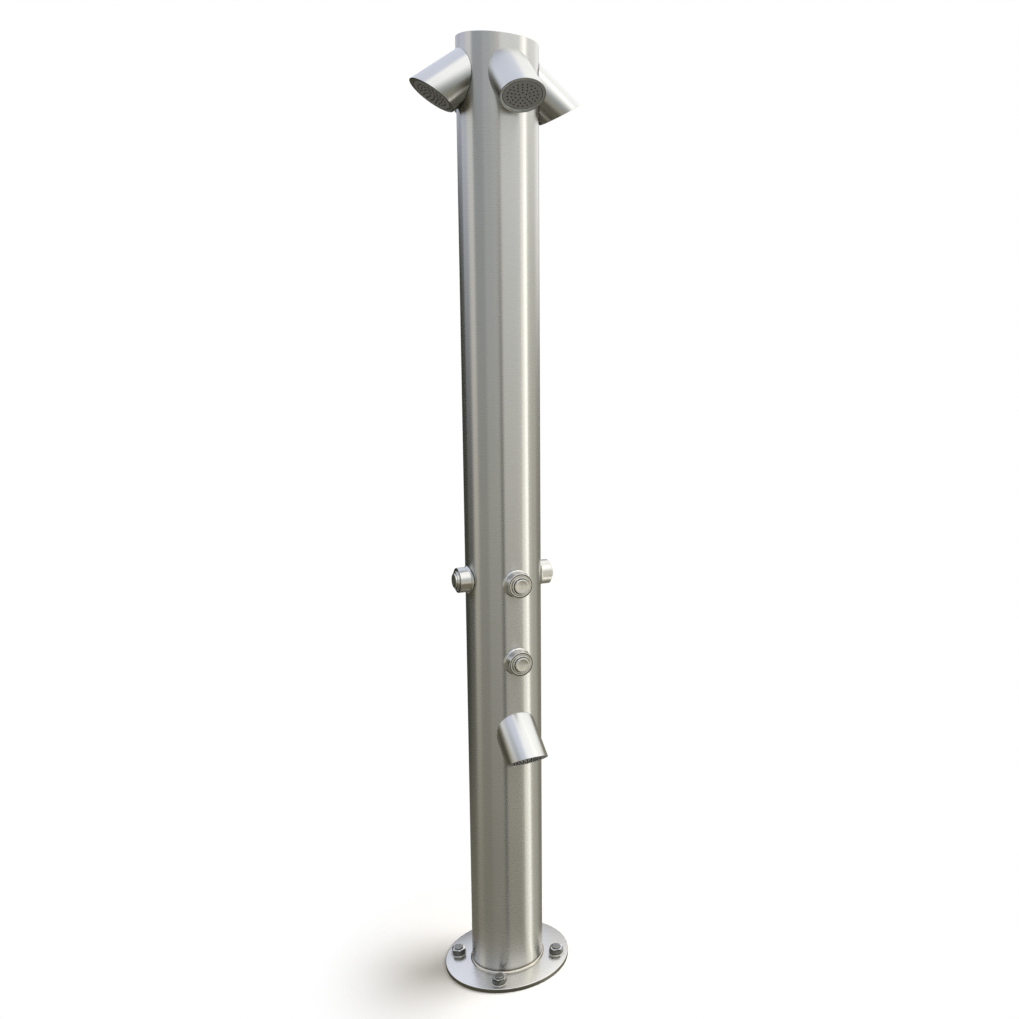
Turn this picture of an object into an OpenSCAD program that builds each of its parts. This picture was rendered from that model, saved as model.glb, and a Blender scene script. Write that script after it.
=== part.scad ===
// Free-standing stainless shower post: four tilted heads near the top, one low foot spout,
// five push-button valves and the water pipes that join them inside the column.
// Millimetres, +Z up, origin on the ground at the centre of the base, front face towards -Y.

/* [Column] */
// Height of the column above the ground
post_h = 2120; // [1900:1:2400]
// Outer diameter of the column tube
post_d = 168.3; // [165:0.1:190]
// Wall of the column tube
post_wall = 3; // [2:0.1:4]
// Thickness of the plate that closes the top
cap_t = 5; // [3:0.5:8]
// Bevel around the top edge of the column
rim_bevel = 1; // [0.5:0.1:1.5]

/* [Base] */
// Diameter of the base flange
flange_d = 295; // [285:1:340]
// Thickness of the base flange
flange_t = 10; // [8:0.5:16]
// Bevel around the top edge of the flange
flange_bevel = 1.5; // [0.5:0.1:3]
// Opening in the flange for the supply pipe
flange_opening_d = 120; // [80:1:140]
// Leg of the weld between column and flange
weld_leg = 4; // [2:0.5:6]
// Height of the supply thread's end above the ground
inlet_rise = 2; // [1:0.5:5]
// Height of the bar that steadies the riser
bracket_z = 70; // [60:1:200]

/* [Anchors] */
// Number of ground anchors
anchor_count = 4; // [3:1:6]
// Diameter of the circle that the anchors stand on
anchor_pcd = 238; // [232:1:244]
// Turn of the first anchor from the front, in degrees
anchor_turn = -30; // [-45:1:45]
// Hole in the flange for an anchor
anchor_hole_d = 22; // [21:0.5:24]
// Outer diameter of an anchor's free thread
anchor_d = 20; // [19:0.5:21]
// Depth of an anchor's thread, on the radius
anchor_thread = 0.8; // [0.5:0.1:1]
// Length of thread standing above a nut
anchor_proud = 3; // [3:0.5:10]
// Diameter of a washer
washer_d = 37; // [35:0.5:40]
// Thickness of a washer
washer_t = 2; // [2:0.5:4]
// Width of an anchor nut across its flats
anchor_nut_af = 30; // [28:0.5:32]
// Height of an anchor nut
anchor_nut_h = 13; // [12:0.5:20]

/* [Heads] */
// Outer diameter of a head's housing
head_d = 93; // [85:0.5:96]
// Wall of a head's housing
head_wall = 2; // [1.5:0.1:3]
// Distance from the column's centre line to the centre of the face, along the head's axis
head_reach = 173.8; // [170:0.1:195]
// Slope of a head's axis below the horizontal, in degrees
head_tilt = 37; // [33:0.5:41]
// Slope of a face's normal below the horizontal, in degrees
face_tilt = 58; // [52:0.5:62]
// Height of an upper head's axis below the column's top, on the centre line
head_drop = 21; // [15:1:80]
// Height of the foot spout's axis on the centre line
spout_z = 677; // [640:1:690]

/* [Faces] */
// Width of the bezel at its narrowest, from the housing's bore to the spray plate's opening
bezel_w = 4; // [3:0.1:6]
// Thickness of the bezel
bezel_t = 3; // [2:0.5:4]
// Dark groove between the bezel and the spray plate
plate_groove = 1; // [0.5:0.1:1.5]
// Raised rim of the spray plate
plate_rim = 5; // [3:0.5:6]
// Thickness of the spray plate
plate_t = 3; // [2.5:0.5:5]
// Rings of nozzles
nozzle_rings = 4; // [2:1:4]
// Nozzles in the innermost ring
nozzle_first = 5; // [4:1:6]
// Distance from the plate's raised rim to the outermost nozzles
nozzle_margin = 4.1; // [3:0.1:6]
// Diameter of a nozzle
nozzle_d = 2.4; // [2:0.1:2.8]
// Length of a nozzle beyond the spray plate
nozzle_proud = 1.6; // [0.5:0.1:2.5]
// Depth of the chamber behind the spray plate
chamber_depth = 14; // [10:1:18]

/* [Push-button valves] */
// Height of the four upper buttons
button_z = 976; // [950:1:1150]
// Height of the foot spout's button
spout_button_z = 794; // [780:1:850]
// Diameter of a collar
collar_d = 56.5; // [53:0.5:60]
// Length of a collar from the column's surface
collar_out = 23.5; // [20:0.5:26]
// Bevel on a collar's front edge
collar_bevel = 1; // [0.5:0.25:1.5]
// Wall of the raised crown on a collar's front
crown_w = 3; // [2:0.25:3.5]
// Height of the raised crown
crown_out = 4; // [3:0.5:5]
// Diameter of a push cap
cap_d = 33; // [30:0.5:35]
// Gap around a push cap
cap_gap = 1.25; // [0.5:0.05:1.5]
// Length of a push cap beyond its collar's crown
cap_proud = 3.5; // [3:0.5:6]
// Travel of a push cap
button_travel = 7; // [4:0.5:8]
// Length of a push cap behind its face
cap_len = 15; // [13:0.5:16]

/* [Pipes] */
// Outer diameter of the riser
riser_d = 22; // [20:0.5:24]
// Outer diameter of a feed pipe
pipe_d = 15; // [12:0.5:16]
// Wall of every water pipe
pipe_wall = 1; // [0.7:0.1:1.5]
// Bend radius of an upper head's elbow
bend_r = 14; // [12:0.5:16]
// Bend radius of the foot spout's elbow
spout_bend_r = 30; // [20:1:40]
// Outer diameter of the supply thread
inlet_d = 26.44; // [25:0.1:28]
// Length of the supply thread
inlet_len = 16; // [12:1:20]
// Width of a distribution block
block_w = 40; // [38:0.5:42]
// Height of a distribution block
block_h = 52; // [48:1:60]

/* [Hidden] */

// Fits and overruns
overrun = 1;
seam = 0.05;
thread_play = 0.05;
rod_play = 0.05;
fine = 96;
medium = 48;
small = 24;

// Places around the column, as turns from the front
front = 0;
right = 90;
back = 180;
left = -90;
around = [front, right, back, left];

// Column
post_r = post_d / 2;
post_ir = post_r - post_wall;
head_z = post_h - head_drop;
cap_sink = 0.5;

// Flange and anchors
flange_r = flange_d / 2;
anchor_r = anchor_d / 2;
shank_hole_play = 0.5;
stud_top = flange_t + washer_t + anchor_nut_h + anchor_proud;
stud_bevel = 1;
nut_bevel = 1.8;
nut_land_share = 0.93;

// Heads, in a frame whose Z runs outwards along the head's axis
head_r = head_d / 2;
head_ir = head_r - head_wall;
bevel_turn = face_tilt - head_tilt;
housing_len = head_reach + head_d;
edge_drop = 0.6;
plate_drop = 0.3;
plate_step = 0.4;
plate_edge = 0.4;
opening_r = head_ir - bezel_w;
plate_r = opening_r - plate_groove;
nozzle_pitch = (plate_r - plate_rim - nozzle_margin) / nozzle_rings;
nozzle_play = 0.1;
mat_t = 1.5;
chamber_wall = 2;
chamber_lip = 2.4;
lip_cover = 2;
plate_back = plate_drop + plate_t;
bezel_back = edge_drop + bezel_t;
lip_front = max(plate_back, bezel_back);
mat_inset = 1;
mat_r = plate_r - chamber_wall - mat_inset;
chamber_ir = mat_r + seam;
lip_r = opening_r + lip_cover;

// Feed pipes
pipe_r = pipe_d / 2;
pipe_ir = pipe_r - pipe_wall;
pipe_nut_wall = 4.5;
pipe_nut_af = pipe_d + 2 * pipe_nut_wall;
pipe_nut_h = 14;
pipe_nut_corner = pipe_nut_af / 2 / cos(30);
nut_clear = 3;
elbow_wall = 2;
elbow_socket = 7;
bore_turn = 2;
elbow_r = pipe_ir + elbow_wall;
elbow_socket_r = pipe_r + elbow_wall;
feed_hole_r = elbow_socket_r + nut_clear;
pipe_nut_start = (post_r + pipe_nut_corner * sin(head_tilt)) / cos(head_tilt) + nut_clear;
pipe_joint = pipe_nut_start + pipe_nut_h / 2;
spigot_r = pipe_r + pipe_wall;

// Valves, in a frame whose Z runs outwards from the column's centre line and Y runs up
collar_r = collar_d / 2;
cap_r = cap_d / 2;
crown_ir = cap_r + cap_gap;
crown_r = crown_ir + crown_w;
crown_bevel = 0.6;
seal_t = 1;
seal_inset = 0.6;
shank_r = 14;
pocket_r = 10.5;
rod_r = 3;
cap_hub_r = 7;
cap_hub_len = 10;
cap_bevel = 1.2;
dish_inset = 3;
dish_depth = 0.8;
cap_web = 6;
end_gap = 1;
saddle_t = 5;
saddle_r = 24;
lock_nut_af = 41;
lock_nut_h = 7;
nut_room = 7;
boss_cover = 1;
guide_len = 12;
outlet_len = 12;
seat_t = 4;
seat_gap = 0.1;
poppet_t = 4;
poppet_r = 9;
port_r = 5.5;
valve_chamber_r = 12;
valve_body_r = 18;
plug_len = 3;
rear_room = 2;
outlet_r = 5;
socket_wall = 2.5;
boss_rise = 8;
socket_len = 6;
boss_r = pipe_r + socket_wall;
boss_h = valve_body_r + boss_rise;
cover_t = boss_r + boss_cover - outlet_len / 2;
spring_r = 9.5;
spring_ir = 8;
spring_gap = 0.1;
spring_turns = 7;

collar_front = post_r + collar_out;
crown_front = collar_front + crown_out;
cap_face = crown_front + cap_proud;
cap_rear = cap_face - cap_len;
collar_floor = cap_rear - button_travel - end_gap;
hub_rear = cap_rear - cap_hub_len;
saddle_flat = post_ir - saddle_t;
body_front = saddle_flat - lock_nut_h - nut_room;
outlet_front = body_front - cover_t;
pocket_floor = outlet_front + guide_len;
seat_front = outlet_front - outlet_len;
seat_rear = seat_front - seat_t;
body_rear = seat_rear - poppet_t - button_travel - plug_len - rear_room;
port_at = (outlet_front + seat_front) / 2;

// Length from a bend's corner to its tangent points, for a bend through this many degrees
function tangent_len(radius, degrees) = radius * tan(degrees / 2);

// Height at which a vertical pipe at the valves' ports meets the axis of a head
function corner_z(z) = z - port_at * tan(head_tilt);

rise_len = tangent_len(bend_r, 90 + head_tilt);
rise_bend_z = corner_z(head_z) - rise_len;
spout_len = tangent_len(spout_bend_r, 90 - head_tilt);
spout_bend_z = corner_z(spout_z) + spout_len;

// Riser and distribution blocks
block_half = block_w / 2;
riser_r = riser_d / 2;
riser_ir = riser_r - pipe_wall;
block_bore_r = riser_ir;
riser_socket = 14;
tail_r = 8;
tail_bore_r = 5;
tail_len = 8;
tail_flange_r = 15;
nipple_hex_af = 32;
nipple_hex_h = 10;
nipple_body_r = 15;
nipple_body_h = 14;
nipple_stop = 2;
nipple_bevel = 1;
nipple_bore_r = 9;
riser_start = inlet_rise + inlet_len + nipple_hex_h + nipple_stop;
bracket_w = 36;
bracket_t = 6;
clamp_h = 12;
clamp_wall = 5;
clamp_slot = 3;
ear_len = 10;
screw_r = 2.5;
screw_head_r = 4.5;
screw_head_h = 4;

// Moves what follows into the frame of a head
module at_head(turn, z) {
    translate([0, 0, z]) rotate([0, 0, turn]) rotate([90 + head_tilt, 0, 0]) children();
}

// Moves what follows to the face of a head, with Z pointing out of the face
module at_face(turn, z) {
    at_head(turn, z) translate([0, 0, head_reach]) rotate([bevel_turn, 0, 0]) children();
}

// Moves what follows into the frame of a valve
module at_valve(turn, z) {
    translate([0, 0, z]) rotate([0, 0, turn]) rotate([90, 0, 0]) children();
}

// Turns a drawing in the XZ plane so that its X points away from the column
module at_side(turn) {
    rotate([0, 0, turn - 90]) children();
}

module at_anchors() {
    for (i = [0 : anchor_count - 1])
        rotate([0, 0, anchor_turn + i * 360 / anchor_count])
            translate([0, -anchor_pcd / 2, 0]) children();
}

// Tube or ring standing on z = from
module ring(r_out, r_in, from, to, sides = medium) {
    difference() {
        translate([0, 0, from]) cylinder(r = r_out, h = to - from, $fn = sides);
        translate([0, 0, from - overrun])
            cylinder(r = r_in, h = to - from + 2 * overrun, $fn = sides);
    }
}

// Round rod from z = from to z = to
module rod(r, from, to, sides = medium) {
    translate([0, 0, from]) cylinder(r = r, h = to - from, $fn = sides);
}

// Hexagon nut with bevelled corners at both ends
module hex_nut(af, h, bore_r, bevel) {
    corner = af / 2 / cos(30);
    land = corner * nut_land_share;
    difference() {
        intersection() {
            cylinder(r = corner, h = h, $fn = 6);
            rotate_extrude($fn = medium)
                polygon([
                    [0, 0], [land, 0], [corner, bevel],
                    [corner, h - bevel], [land, h], [0, h]
                ]);
        }
        translate([0, 0, -overrun]) cylinder(r = bore_r, h = h + 2 * overrun, $fn = medium);
    }
}

module base_flange() {
    color("lightgrey") difference() {
        rotate_extrude($fn = fine)
            polygon([
                [0, 0], [flange_r, 0], [flange_r, flange_t - flange_bevel],
                [flange_r - flange_bevel, flange_t], [0, flange_t]
            ]);
        rod(flange_opening_d / 2, -overrun, flange_t + overrun, fine);
        at_anchors() rod(anchor_hole_d / 2, -overrun, flange_t + overrun);
    }
}

module foot_weld() {
    color("whitesmoke") rotate_extrude($fn = fine)
        polygon([
            [post_r + seam, flange_t], [post_r + weld_leg, flange_t],
            [post_r + seam, flange_t + weld_leg]
        ]);
}

module column_tube() {
    color("silver") difference() {
        rotate_extrude($fn = fine)
            polygon([
                [post_ir, flange_t], [post_r, flange_t], [post_r, post_h - rim_bevel],
                [post_r - rim_bevel, post_h], [post_ir, post_h]
            ]);
        for (turn = around) {
            feed_hole(turn, head_z);
            valve_hole(turn, button_z);
        }
        feed_hole(front, spout_z);
        valve_hole(front, spout_button_z);
    }
}

module feed_hole(turn, z) {
    at_head(turn, z) rod(feed_hole_r, post_ir - pipe_d, pipe_joint);
}

module valve_hole(turn, z) {
    at_valve(turn, z) rod(shank_r + shank_hole_play, saddle_flat - overrun, post_r + overrun);
}

module top_cap() {
    color("silver") rod(post_ir - seam, post_h - cap_sink - cap_t, post_h - cap_sink, fine);
}

module anchor_studs() {
    color("dimgray") at_anchors() union() {
        rod(anchor_r - anchor_thread, 0, stud_top - anchor_proud + overrun);
        translate([0, 0, stud_top - anchor_proud]) rotate_extrude($fn = medium)
            polygon([
                [0, 0], [anchor_r, 0], [anchor_r, anchor_proud - stud_bevel],
                [anchor_r - stud_bevel, anchor_proud], [0, anchor_proud]
            ]);
    }
}

module anchor_washers() {
    color("gainsboro") at_anchors()
        ring(washer_d / 2, anchor_r + shank_hole_play, flange_t, flange_t + washer_t);
}

module anchor_nuts() {
    color("gray") at_anchors() translate([0, 0, flange_t + washer_t])
        hex_nut(anchor_nut_af, anchor_nut_h, anchor_r - anchor_thread + thread_play, nut_bevel);
}

// Housing of one head: a tube that meets the column and ends in the sloping face
module head_housing(turn, z) {
    color("lightsteelblue") difference() {
        at_head(turn, z) ring(head_r, head_ir, 0, housing_len, fine);
        rod(post_r + seam, z - housing_len, z + housing_len, fine);
        beyond_plane(turn, z, 0);
    }
}

// All that lies farther out than a plane parallel to the face, this far behind it
module beyond_plane(turn, z, behind) {
    at_face(turn, z)
        translate([-housing_len, -housing_len, -behind])
            cube([2 * housing_len, 2 * housing_len, housing_len]);
}

module face_bezel(turn, z) {
    color("darkgray") difference() {
        intersection() {
            at_head(turn, z) rod(head_ir - seam, 0, housing_len, fine);
            at_face(turn, z) rod(head_d, -bezel_back, -edge_drop);
        }
        at_face(turn, z) rod(opening_r, -bezel_back - overrun, overrun, fine);
    }
}

// Runs once for each nozzle, in the frame of the face
module at_nozzles() {
    for (ring_no = [1 : nozzle_rings], i = [0 : ring_no * nozzle_first - 1])
        rotate([0, 0, (i + ring_no / 2) * 360 / (ring_no * nozzle_first)])
            translate([ring_no * nozzle_pitch, 0, 0]) children();
}

module spray_plate(turn, z) {
    color("dimgray") at_face(turn, z) difference() {
        rotate_extrude($fn = fine)
            polygon([
                [0, -plate_back], [plate_r, -plate_back], [plate_r, -plate_drop - plate_edge],
                [plate_r - plate_edge, -plate_drop], [plate_r - plate_rim, -plate_drop],
                [plate_r - plate_rim - plate_step, -plate_drop - plate_step],
                [0, -plate_drop - plate_step]
            ]);
        at_nozzles() rod(nozzle_d / 2 + nozzle_play, -plate_back - overrun, overrun, small);
    }
}

// Rubber mat behind the spray plate, with a nozzle through each of the plate's holes
module nozzle_mat(turn, z) {
    color("black") at_face(turn, z) difference() {
        union() {
            rod(mat_r, -plate_back - mat_t, -plate_back, fine);
            at_nozzles()
                rod(nozzle_d / 2, -plate_back - mat_t / 2, nozzle_proud - plate_drop - plate_step,
                    small);
        }
        at_nozzles() rod(nozzle_d / 4, -plate_back - mat_t - overrun, nozzle_proud, small);
    }
}

module spray_chamber(turn, z) {
    chamber_back = lip_front + mat_t + chamber_depth;
    color("gold") difference() {
        union() {
            at_face(turn, z) rod(chamber_ir + chamber_wall, -chamber_back, -lip_front, fine);
            at_face(turn, z) rod(lip_r, -lip_front - chamber_lip, -lip_front, fine);
            at_head(turn, z) rod(spigot_r, pipe_joint, head_reach - chamber_back + chamber_wall);
        }
        at_face(turn, z)
            rod(chamber_ir, -chamber_back + chamber_wall, overrun - lip_front, fine);
        at_head(turn, z) rod(pipe_ir, pipe_joint - overrun, head_reach);
    }
}

module valve_collar(turn, z) {
    color("gainsboro") difference() {
        at_valve(turn, z) rotate_extrude($fn = fine)
            polygon([
                [shank_r + thread_play, post_r - collar_r],
                [collar_r, post_r - collar_r],
                [collar_r, collar_front - collar_bevel],
                [collar_r - collar_bevel, collar_front],
                [crown_r, collar_front],
                [crown_r, crown_front - crown_bevel],
                [crown_r - crown_bevel, crown_front],
                [crown_ir, crown_front],
                [crown_ir, collar_floor],
                [shank_r + thread_play, collar_floor]
            ]);
        rod(post_r + seal_t, z - collar_d, z + collar_d, fine);
    }
}

module valve_seal(turn, z) {
    color("black") intersection() {
        at_valve(turn, z)
            ring(collar_r - seal_inset, shank_r + shank_hole_play, post_r - collar_r, collar_floor);
        ring(post_r + seal_t, post_r, z - collar_d, z + collar_d, fine);
    }
}

module saddle_washer(turn, z) {
    color("gainsboro") intersection() {
        at_valve(turn, z) ring(saddle_r, shank_r + shank_hole_play, saddle_flat, post_r);
        rod(post_ir - seam, z - collar_d, z + collar_d, fine);
    }
}

module lock_nut(turn, z) {
    color("goldenrod") at_valve(turn, z) translate([0, 0, saddle_flat - lock_nut_h])
        hex_nut(lock_nut_af, lock_nut_h, shank_r + thread_play, nut_bevel);
}

// Brass body of one valve; its outlet points up, or down where side is -1
module valve_body(turn, z, side = 1) {
    color("goldenrod") at_valve(turn, z) difference() {
        union() {
            rod(shank_r, body_front - overrun, collar_floor);
            rod(valve_body_r, body_rear, body_front);
            translate([0, 0, port_at]) rotate([-90 * side, 0, 0]) rod(boss_r, 0, boss_h);
        }
        rod(pocket_r, pocket_floor, collar_floor + overrun);
        rod(rod_r + rod_play, seat_front, pocket_floor + overrun, small);
        rod(valve_chamber_r, seat_front, outlet_front);
        rod(port_r, body_rear, outlet_front - overrun, small);
        rod(valve_chamber_r, body_rear - overrun, seat_rear);
        translate([0, 0, port_at]) rotate([-90 * side, 0, 0]) {
            rod(outlet_r, 0, boss_h, small);
            rod(pipe_r + seam, boss_h - socket_len, boss_h + overrun);
        }
    }
}

// Push cap: a bevelled disc with a shallow dish in its face and a hub for the spindle
module push_button(turn, z) {
    dish_r = cap_r - cap_bevel - dish_inset;
    color("silver") at_valve(turn, z) rotate_extrude($fn = fine)
        polygon([
            [0, cap_face - cap_web], [rod_r + seam, cap_face - cap_web],
            [rod_r + seam, hub_rear], [cap_hub_r, hub_rear],
            [cap_hub_r, cap_rear], [cap_r, cap_rear],
            [cap_r, cap_face - cap_bevel], [cap_r - cap_bevel, cap_face],
            [dish_r, cap_face], [dish_r - dish_depth, cap_face - dish_depth],
            [0, cap_face - dish_depth]
        ]);
}

module spindle(turn, z) {
    poppet_front = seat_rear - seat_gap;
    color("slategray") at_valve(turn, z) union() {
        rod(rod_r, poppet_front - poppet_t, cap_face - cap_web - seam, small);
        rod(poppet_r, poppet_front - poppet_t, poppet_front);
    }
}

// Return spring, drawn as a sleeve with one groove and one crest for each turn
module return_spring(turn, z) {
    start = pocket_floor + spring_gap;
    pitch = (cap_rear - spring_gap - start) / spring_turns;
    crests = [for (i = [0 : 2 * spring_turns])
        [spring_r - (i % 2) * (spring_r - spring_ir) / 2, start + i * pitch / 2]];
    color("gray") at_valve(turn, z) rotate_extrude($fn = small)
        polygon(concat([[spring_ir, start]], crests, [[spring_ir, cap_rear - spring_gap]]));
}

// Union that carries water from a block into a valve body
module inlet_tail(turn, z) {
    color("goldenrod") at_valve(turn, z) difference() {
        union() {
            rod(tail_r, block_half - tail_len, block_half + overrun);
            rod(tail_flange_r, block_half, body_rear);
            rod(valve_chamber_r - seam, body_rear - overrun, body_rear + plug_len);
        }
        rod(tail_bore_r, block_half - tail_len - overrun, body_rear + plug_len + overrun, small);
    }
}

// Brass block around the riser, with one side port for each turn
module water_block(z, turns) {
    color("darkgoldenrod") difference() {
        translate([-block_half, -block_half, z - block_h / 2])
            cube([block_w, block_w, block_h]);
        rod(riser_r + seam, z - block_h / 2 - overrun, z - block_h / 2 + riser_socket);
        for (turn = turns)
            at_valve(turn, z) rod(tail_r + seam, 0, block_half + overrun);
        children();
    }
}

module tee_block() {
    water_block(spout_button_z, [front]) {
        rod(block_bore_r, spout_button_z - block_h / 2, spout_button_z + block_h / 2);
        rod(riser_r + seam, spout_button_z + block_h / 2 - riser_socket,
            spout_button_z + block_h / 2 + overrun);
    }
}

module cross_block() {
    water_block(button_z, around)
        rod(block_bore_r, button_z - block_h / 2, button_z + riser_socket);
}

module inlet_nipple() {
    hex_z = inlet_rise + inlet_len;
    color("goldenrod") difference() {
        union() {
            rotate_extrude($fn = fine)
                polygon([
                    [0, inlet_rise], [inlet_d / 2 - nipple_bevel, inlet_rise],
                    [inlet_d / 2, inlet_rise + nipple_bevel], [inlet_d / 2, hex_z], [0, hex_z]
                ]);
            translate([0, 0, hex_z])
                cylinder(r = nipple_hex_af / 2 / cos(30), h = nipple_hex_h, $fn = 6);
            rod(nipple_body_r, hex_z, hex_z + nipple_hex_h + nipple_body_h);
        }
        rod(nipple_bore_r, inlet_rise - overrun, riser_start + overrun);
        rod(riser_r + seam, riser_start, riser_start + nipple_body_h + overrun);
    }
}

module riser_lower() {
    color("silver")
        ring(riser_r, riser_ir, riser_start, spout_button_z - block_h / 2 + riser_socket);
}

module riser_upper() {
    color("silver")
        ring(riser_r, riser_ir, spout_button_z + block_h / 2 - riser_socket,
            button_z - block_h / 2 + riser_socket);
}

// Flat bar welded across the column's bore
module riser_bracket() {
    color("gray") difference() {
        intersection() {
            rod(post_ir - seam, bracket_z, bracket_z + bracket_t, fine);
            translate([-post_r, -bracket_w / 2, bracket_z])
                cube([post_d, bracket_w, bracket_t]);
        }
        rod(riser_r + seam, bracket_z - overrun, bracket_z + bracket_t + overrun);
    }
}

// Split ring that grips the riser and rests on the bar
module riser_clamp() {
    clamp_r = riser_r + clamp_wall;
    ear_w = clamp_slot + 2 * clamp_wall;
    color("darkgray") translate([0, 0, bracket_z + bracket_t]) difference() {
        union() {
            rod(clamp_r, 0, clamp_h);
            translate([riser_r, -ear_w / 2, 0])
                cube([clamp_wall + ear_len, ear_w, clamp_h]);
        }
        rod(riser_r + seam, -overrun, clamp_h + overrun);
        translate([0, -clamp_slot / 2, -overrun])
            cube([clamp_r + ear_len + overrun, clamp_slot, clamp_h + 2 * overrun]);
        at_clamp_screw() rod(screw_r + seam, -ear_w, ear_w, small);
    }
}

// Moves what follows onto the axis of the clamp's screw
module at_clamp_screw() {
    translate([riser_r + clamp_wall + ear_len / 2, 0, clamp_h / 2]) rotate([90, 0, 0]) children();
}

module clamp_screw() {
    ear_w = clamp_slot + 2 * clamp_wall;
    color("dimgray") translate([0, 0, bracket_z + bracket_t]) at_clamp_screw() union() {
        rod(screw_r, -ear_w / 2 - screw_head_h, ear_w / 2 + overrun, small);
        rod(screw_head_r, ear_w / 2, ear_w / 2 + screw_head_h, small);
    }
}

// Distance along a head's axis at which a bend's second end lies
function bend_exit(bend_len) = port_at / cos(head_tilt) + bend_len;

// Moves what follows to an end of a bend, with Z pointing out of the bend
module at_bend_end(radius, angle, way) {
    rotate([0, 0, angle]) translate([radius, 0, 0]) rotate([-90 * way, 0, 0]) children();
}

// Elbow with a socket at each end; start is its first angle and degrees its turn
module feed_elbow(turn, z, radius, start, degrees) {
    color("goldenrod") at_side(turn) translate([port_at + radius, 0, z]) rotate([90, 0, 0])
        difference() {
            union() {
                bend(radius, start, degrees, elbow_r);
                at_bend_end(radius, start, -1) rod(elbow_socket_r, -overrun, elbow_socket);
                at_bend_end(radius, start + degrees, 1)
                    rod(elbow_socket_r, -overrun, elbow_socket);
            }
            bend(radius, start - bore_turn, degrees + 2 * bore_turn, pipe_ir);
            at_bend_end(radius, start, -1) rod(pipe_r + seam, 0, elbow_socket + overrun);
            at_bend_end(radius, start + degrees, 1)
                rod(pipe_r + seam, 0, elbow_socket + overrun);
        }
}

module bend(radius, start, degrees, r) {
    rotate([0, 0, start]) rotate_extrude(angle = degrees, $fn = fine)
        translate([radius, 0]) circle(r = r, $fn = medium);
}

// Pipe that stands beside the riser, between these two heights
module upright_pipe(turn, from, to) {
    color("silver") at_side(turn) translate([port_at, 0, 0]) ring(pipe_r, pipe_ir, from, to);
}

// Pipe along a head's axis, from the elbow to the joint inside the housing
module head_pipe(turn, z, bend_len) {
    color("silver") at_head(turn, z)
        ring(pipe_r, pipe_ir, bend_exit(bend_len) + seam, pipe_joint);
}

module pipe_nut_at_head(turn, z) {
    at_head(turn, z) translate([0, 0, pipe_nut_start]) difference() {
        hex_nut(pipe_nut_af, pipe_nut_h, pipe_r + seam, nut_bevel);
        rod(spigot_r + seam, pipe_nut_h / 2, pipe_nut_h + overrun);
    }
}

module pipe_nut_at_valve(turn, z, side = 1) {
    at_valve(turn, z) translate([0, 0, port_at]) rotate([-90 * side, 0, 0])
        translate([0, 0, boss_h]) hex_nut(pipe_nut_af, pipe_nut_h, pipe_r + seam, nut_bevel);
}

module feed_pipes() {
    for (turn = around) {
        upright_pipe(turn, button_z + boss_h - socket_len, rise_bend_z - seam);
        head_pipe(turn, head_z, rise_len);
    }
    upright_pipe(front, spout_bend_z + seam, spout_button_z - boss_h + socket_len);
    head_pipe(front, spout_z, spout_len);
}

module feed_elbows() {
    for (turn = around)
        feed_elbow(turn, rise_bend_z, bend_r, 90 - head_tilt, 90 + head_tilt);
    feed_elbow(front, spout_bend_z, spout_bend_r, 180, 90 - head_tilt);
}

module pipe_nuts() {
    color("gold") {
        for (turn = around) {
            pipe_nut_at_head(turn, head_z);
            pipe_nut_at_valve(turn, button_z);
        }
        pipe_nut_at_head(front, spout_z);
        pipe_nut_at_valve(front, spout_button_z, -1);
    }
}

module inlet_tails() {
    for (turn = around) inlet_tail(turn, button_z);
    inlet_tail(front, spout_button_z);
}

module face_bezels() {
    for (turn = around) face_bezel(turn, head_z);
    face_bezel(front, spout_z);
}

module nozzle_mats() {
    for (turn = around) nozzle_mat(turn, head_z);
    nozzle_mat(front, spout_z);
}

module spray_chambers() {
    for (turn = around) spray_chamber(turn, head_z);
    spray_chamber(front, spout_z);
}

module valve_seals() {
    for (turn = around) valve_seal(turn, button_z);
    valve_seal(front, spout_button_z);
}

module saddle_washers() {
    for (turn = around) saddle_washer(turn, button_z);
    saddle_washer(front, spout_button_z);
}

module lock_nuts() {
    for (turn = around) lock_nut(turn, button_z);
    lock_nut(front, spout_button_z);
}

module head_housing_front() head_housing(front, head_z);
module head_housing_right() head_housing(right, head_z);
module head_housing_back() head_housing(back, head_z);
module head_housing_left() head_housing(left, head_z);
module head_housing_foot() head_housing(front, spout_z);

module spray_plate_front() spray_plate(front, head_z);
module spray_plate_right() spray_plate(right, head_z);
module spray_plate_back() spray_plate(back, head_z);
module spray_plate_left() spray_plate(left, head_z);
module spray_plate_foot() spray_plate(front, spout_z);

module valve_collar_front() valve_collar(front, button_z);
module valve_collar_right() valve_collar(right, button_z);
module valve_collar_back() valve_collar(back, button_z);
module valve_collar_left() valve_collar(left, button_z);
module valve_collar_foot() valve_collar(front, spout_button_z);

module push_button_front() push_button(front, button_z);
module push_button_right() push_button(right, button_z);
module push_button_back() push_button(back, button_z);
module push_button_left() push_button(left, button_z);
module push_button_foot() push_button(front, spout_button_z);

module spindle_front() spindle(front, button_z);
module spindle_right() spindle(right, button_z);
module spindle_back() spindle(back, button_z);
module spindle_left() spindle(left, button_z);
module spindle_foot() spindle(front, spout_button_z);

module return_spring_front() return_spring(front, button_z);
module return_spring_right() return_spring(right, button_z);
module return_spring_back() return_spring(back, button_z);
module return_spring_left() return_spring(left, button_z);
module return_spring_foot() return_spring(front, spout_button_z);

module valve_body_front() valve_body(front, button_z);
module valve_body_right() valve_body(right, button_z);
module valve_body_back() valve_body(back, button_z);
module valve_body_left() valve_body(left, button_z);
module valve_body_foot() valve_body(front, spout_button_z, -1);

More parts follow.
